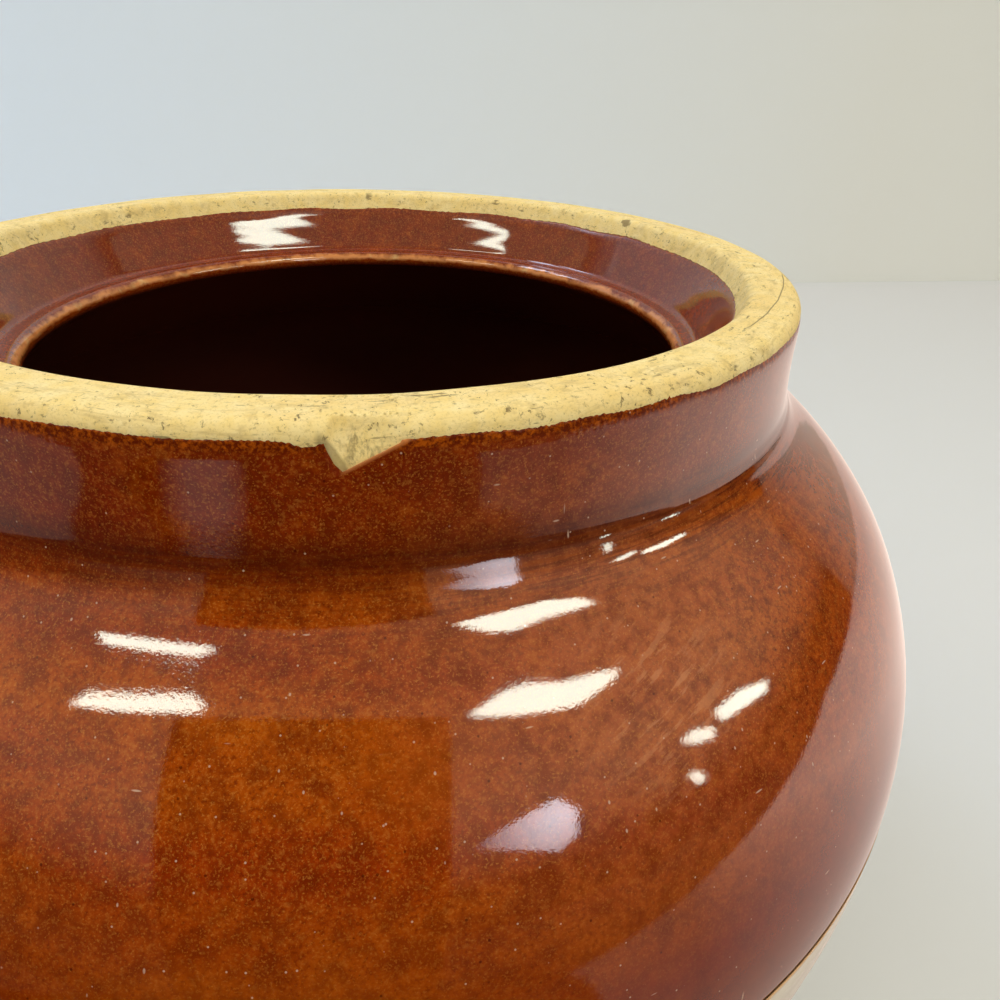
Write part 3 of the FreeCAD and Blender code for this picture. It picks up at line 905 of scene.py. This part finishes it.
# Lamps as the shoulder mirrors them: radiance, and corners as (azimuth, elevation)
LAMPS = {
    "lamp_right": (15, [(18.6, 47.8), (29.5, 50.2), (36, 49.6), (44, 45.8), (53, 42.6), (57, 40.4),
                        (54, 39.4), (42.7, 39.4), (34.3, 42.3), (25.7, 45.2)]),
    "lamp_left": (15, [(-45, 46.8), (-50, 46.8), (-60, 42.4), (-68, 38.2), (-68, 35.2), (-60, 39.0),
                       (-52, 42.9), (-46, 45.4)]),
    "low_strip": (14, [(63.5, 18.0), (70, 16.8), (75.5, 12.6), (74.0, 11.2), (68, 13.5), (63.5, 15.0)]),
    "low_bit": (13, [(54.8, 18.3), (58, 18.6), (61.5, 15.6), (60.5, 13.6), (57, 15.5)]),
    "low_dot": (14, [(52.6, 11.0), (54.2, 11.0), (55.2, 7.8), (53.5, 7.5)]),
}
LEFT_WINDOW = [[(-112, 42), (-150, 42), (-150, 47), (-112, 47)],
               [(-112, 51), (-150, 51), (-150, 57), (-112, 57)]]
LEFT_WINDOW_DISTANCE = 1.4
LEFT_WINDOW_COLOR = (0.62, 0.78, 1.0)
LEFT_WINDOW_RADIANCE = 9.0
WINDOW_AT = (28.5, 19.0)
WINDOW_CORNERS = [(12, 17.6), (18, 20.4), (24, 22.2), (29, 22.8), (31.6, 18.5), (30, 12.6), (26, 10.2),
                  (20, 14)]
WINDOW_FADE = (0.08, 0.62)
WINDOW_COLOR = (0.86, 0.90, 1.0)
WINDOW_RADIANCE = 10.0
DARK_FLOOR = {
    "dark_front": [(-3, -3), (3, -3), (3, -0.40), (-3, -0.33)],
    "dark_left": [(-3, -0.5), (0.14, -0.5), (0.14, -0.33), (0.095, -0.2), (-3, -0.2)],
}
DARK_RAGGED = (0.007, 0.0022, 5)            # step, reach and seed of the dark floor's uneven edges
PATCH_AT = (-0.212, -0.32)                  # a pale patch on the dark part of the table
PATCH_SIZE = 0.08
PATCH_FADE = (0.025, 0.065)
PATCH_COLOR = (1.0, 0.93, 0.86, 1.0)
PATCH_RADIANCE = 0.55
# A dark card behind the camera, which the glaze mirrors: (to the right, up)
CARD = ((-0.066, -0.160), (0.0195, -0.160), (0.0195, 0.007), (-0.066, 0.007))
CARD_BEHIND = 0.002
# The room's glow by the sine of the elevation
WORLD_STOPS = [(0.12, (0.05, 0.04, 0.03)), (0.30, (0.42, 0.38, 0.29)), (0.45, (0.62, 0.54, 0.40)),
               (0.92, (0.32, 0.27, 0.19))]


def camera():
    ahead = Vector((math.sin(CAMERA_YAW) * math.cos(CAMERA_PITCH),
                    math.cos(CAMERA_YAW) * math.cos(CAMERA_PITCH), -math.sin(CAMERA_PITCH)))
    level = Vector((math.cos(CAMERA_YAW), -math.sin(CAMERA_YAW), 0))
    upright = level.cross(ahead)
    right = level * math.cos(CAMERA_ROLL) + upright * math.sin(CAMERA_ROLL)
    up = upright * math.cos(CAMERA_ROLL) - level * math.sin(CAMERA_ROLL)
    data = bpy.data.cameras.new("camera")
    data.lens = CAMERA_LENS
    data.sensor_width = SENSOR
    data.clip_start = 0.005
    seen = in_scene("camera", data)
    seen.matrix_world = Matrix((
        (right.x, up.x, -ahead.x, CAMERA_PLACE.x),
        (right.y, up.y, -ahead.y, CAMERA_PLACE.y),
        (right.z, up.z, -ahead.z, CAMERA_PLACE.z),
        (0, 0, 0, 1)))
    bpy.context.scene.camera = seen
    return right, up, ahead


def sheet_of(name, corners, material):
    mesh = bpy.data.meshes.new(name)
    mesh.from_pydata([tuple(c) for c in corners], [], [tuple(range(len(corners)))])
    mesh.materials.append(material)
    piece = in_scene(name, mesh)
    return piece


def plain(name, color, roughness=0.9):
    n = Nodes(name)
    return n.finish((*color, 1.0), roughness)


def glowing(n, color, strength):
    """Makes a material give out light, evenly or by a socket's value."""
    glow = n.add("Emission", {"Color": color, "Strength": strength})
    n.tree.links.new(glow.outputs[0], n.tree.nodes["Material Output"].inputs["Surface"])
    return n.material


def soft_spot(name, centre, inner, outer, color, strength, raggedness=0.0):
    """A glow round a point, which ends softly."""
    n = Nodes(name)
    away = n.away(n.place(), centre)
    uneven = n.times(n.noise(n.place(), 9, 4, 0.7), raggedness)
    return glowing(n, color, n.range(n.math("ADD", away, uneven), outer, inner, 0.0, strength))


def only_in_gloss(piece):
    for rays in ("camera", "diffuse", "shadow", "transmission"):
        setattr(piece, "visible_" + rays, False)


def bright_table():
    """The table as it is mirrored: brighter to the right of the pot than in front of it."""
    n = Nodes("bright_table")
    x, y, _ = n.split(n.place())
    across = n.math("ADD", x, n.times(y, 0.9))
    far = n.range(y, 0.05, 0.35, 1.0, 0.7)
    strength = n.times(n.range(across, -0.02, 0.30, *TABLE_GLOW), far)
    return glowing(n, (*TABLE_GLOW_COLOR, 1.0), strength)


def pale_backdrop():
    """Cooler on the left and warmer on the right."""
    n = Nodes("pale_backdrop")
    x = n.split(n.place())["X"]
    return n.finish(n.mix(n.range(x, -0.3, 0.5), BACKDROP_LEFT, BACKDROP_RIGHT), 0.9)


def flat(corners, height):
    return [(x, y, height) for x, y in corners]


def oblong(left, right, near, far, height):
    return flat([(left, near), (right, near), (right, far), (left, far)], height)


def ragged(corners, step, reach, seed):
    """The same outline with an uneven edge."""
    rng = np.random.default_rng(seed)
    points = []
    for start, end in zip(corners, corners[1:] + corners[:1]):
        start, end = np.array(start), np.array(end)
        count = min(int(np.hypot(*(end - start)) / step) + 1, 60)
        points += [start + (end - start) * k / count + rng.normal(0, reach, 2) for k in range(count)]
    return points


def stage(right, up, ahead):
    floor = oblong(-FLOOR_SIZE, FLOOR_SIZE, -FLOOR_SIZE, WALL_AT, 0)
    sheet_of("floor", floor, plain("pale_floor", FLOOR_COLOR))
    wall = [(-FLOOR_SIZE, WALL_AT, 0), (FLOOR_SIZE, WALL_AT, 0), (FLOOR_SIZE, WALL_AT, WALL_HEIGHT),
            (-FLOOR_SIZE, WALL_AT, WALL_HEIGHT)]
    sheet_of("backdrop", wall, pale_backdrop())
    table = oblong(-FLOOR_SIZE, FLOOR_SIZE, TABLE_FRONT, WALL_AT - 0.01, TABLE_LIFT)
    only_in_gloss(sheet_of("bright_table", table, bright_table()))
    dark = plain("dark_card", (0.01, 0.01, 0.01))
    behind = CAMERA_PLACE - ahead * CARD_BEHIND
    only_in_gloss(sheet_of("dark_card", [behind + right * x + up * y for x, y in CARD], dark))
    for name, corners in DARK_FLOOR.items():
        piece = sheet_of(name, flat(ragged(corners, *DARK_RAGGED), DARK_LIFT), dark)
        only_in_gloss(piece)
        piece.visible_diffuse = name == "dark_front"    # it also darkens the clay and the floor
    x, y = PATCH_AT
    patch = oblong(x - PATCH_SIZE, x + PATCH_SIZE, y - PATCH_SIZE, y + PATCH_SIZE, PATCH_LIFT)
    glow = soft_spot("pale_patch", (x, y, PATCH_LIFT), *PATCH_FADE, PATCH_COLOR, PATCH_RADIANCE)
    only_in_gloss(sheet_of("pale_patch", patch, glow))


def towards(azimuth, elevation):
    a, e = math.radians(azimuth), math.radians(elevation)
    return Vector((math.sin(a) * math.cos(e), -math.cos(a) * math.cos(e), math.sin(e)))


def area_lamp(name, distance, along, facing, size, radiance):
    """A rectangular lamp this far from the shoulder in one direction, which shines back on it."""
    length, width = size
    data = bpy.data.lights.new(name, "AREA")
    data.shape = "RECTANGLE"
    data.size = length
    data.size_y = width
    data.energy = radiance * math.pi * length * width
    data.color = FILL_COLOR
    side = facing.cross(along).normalized()
    along = side.cross(facing).normalized()
    piece = in_scene(name, data)
    turn = Matrix((along, side, facing)).transposed().to_4x4()
    piece.matrix_world = Matrix.Translation(SHOULDER + facing * distance) @ turn
    piece.visible_camera = False
    piece.visible_glossy = False


def seen_at(azimuth, elevation, distance=LAMP_DISTANCE):
    return SHOULDER + towards(azimuth, elevation) * distance


def glow_panel(name, corners, radiance):
    """A lamp of any outline. Its corners are given as seen from the shoulder, in degrees."""
    glow = glowing(Nodes(name), (*LAMP_COLOR, 1.0), radiance)
    piece = sheet_of(name, [seen_at(*corner) for corner in corners], glow)
    piece.visible_camera = False


def window():
    centre = seen_at(*WINDOW_AT)
    glow = soft_spot("window", tuple(centre), *WINDOW_FADE, (*WINDOW_COLOR, 1.0), WINDOW_RADIANCE, 0.12)
    piece = sheet_of("window", [seen_at(*corner) for corner in WINDOW_CORNERS], glow)
    piece.visible_camera = False


def lights():
    for name, (radiance, corners) in LAMPS.items():
        glow_panel(name, corners, radiance)
    window()
    above = Vector((0, 0, 1))
    area_lamp("fill", FILL_HEIGHT, Vector((1, 0, 0)), above, FILL_SIZE, FILL_RADIANCE)
    from_left = Vector(FILL_LEFT_AT).normalized()
    area_lamp("fill_left", FILL_LEFT_DISTANCE, above, from_left, FILL_LEFT_SIZE, FILL_LEFT_RADIANCE)
    for number, corners in enumerate(LEFT_WINDOW):
        glow = glowing(Nodes("left_window"), (*LEFT_WINDOW_COLOR, 1.0), LEFT_WINDOW_RADIANCE)
        place = [seen_at(*corner, LEFT_WINDOW_DISTANCE) for corner in corners]
        sheet_of(f"left_window_{number}", place, glow).visible_camera = False


def world():
    w = bpy.data.worlds.new("room")
    w.use_nodes = True
    tree = w.node_tree
    back = tree.nodes["Background"]
    kinds = ("TexCoord", "SeparateXYZ", "ValToRGB")
    place, parts, ramp = (tree.nodes.new("ShaderNode" + kind) for kind in kinds)
    tree.links.new(place.outputs["Generated"], parts.inputs[0])
    tree.links.new(parts.outputs["Z"], ramp.inputs[0])
    stops = ramp.color_ramp.elements
    stops.remove(stops[1])
    stops[0].position = WORLD_STOPS[0][0]
    stops[0].color = (*WORLD_STOPS[0][1], 1)
    for position, color in WORLD_STOPS[1:]:
        stops.new(position).color = (*color, 1)
    tree.links.new(ramp.outputs["Color"], back.inputs["Color"])
    bpy.context.scene.world = w


# ---------------------------------------------------------------- the scene

def main():
    right, up, ahead = camera()
    stage(right, up, ahead)
    lights()
    world()
    clay = clay_material()
    brown = brown_material("brown_glaze", POT_HEIGHT - BROWN_TOP, False)
    lining = brown_material("brown_glaze_lining", POT_HEIGHT - LINING_TOP, True)
    cream = cream_material()
    dress(pot_clay(), "pot", "pot_body", clay)
    dress(brown_coat(), "pot", "pot_brown_glaze", brown)
    dress(clear_coat(), "pot", "pot_clear_glaze", cream)
    dress(lining_coat(), "pot", "pot_lining_glaze", lining)
    dress(lid_clay(), "lid", "lid_body", clay)
    dress(knob_clay(), "lid", "lid_knob", clay)
    dress(lid_top_coat(), "lid", "lid_top_glaze", brown)
    dress(lid_lining_coat(), "lid", "lid_lining_glaze", brown)
    bpy.context.scene.view_settings.view_transform = "Standard"


main()
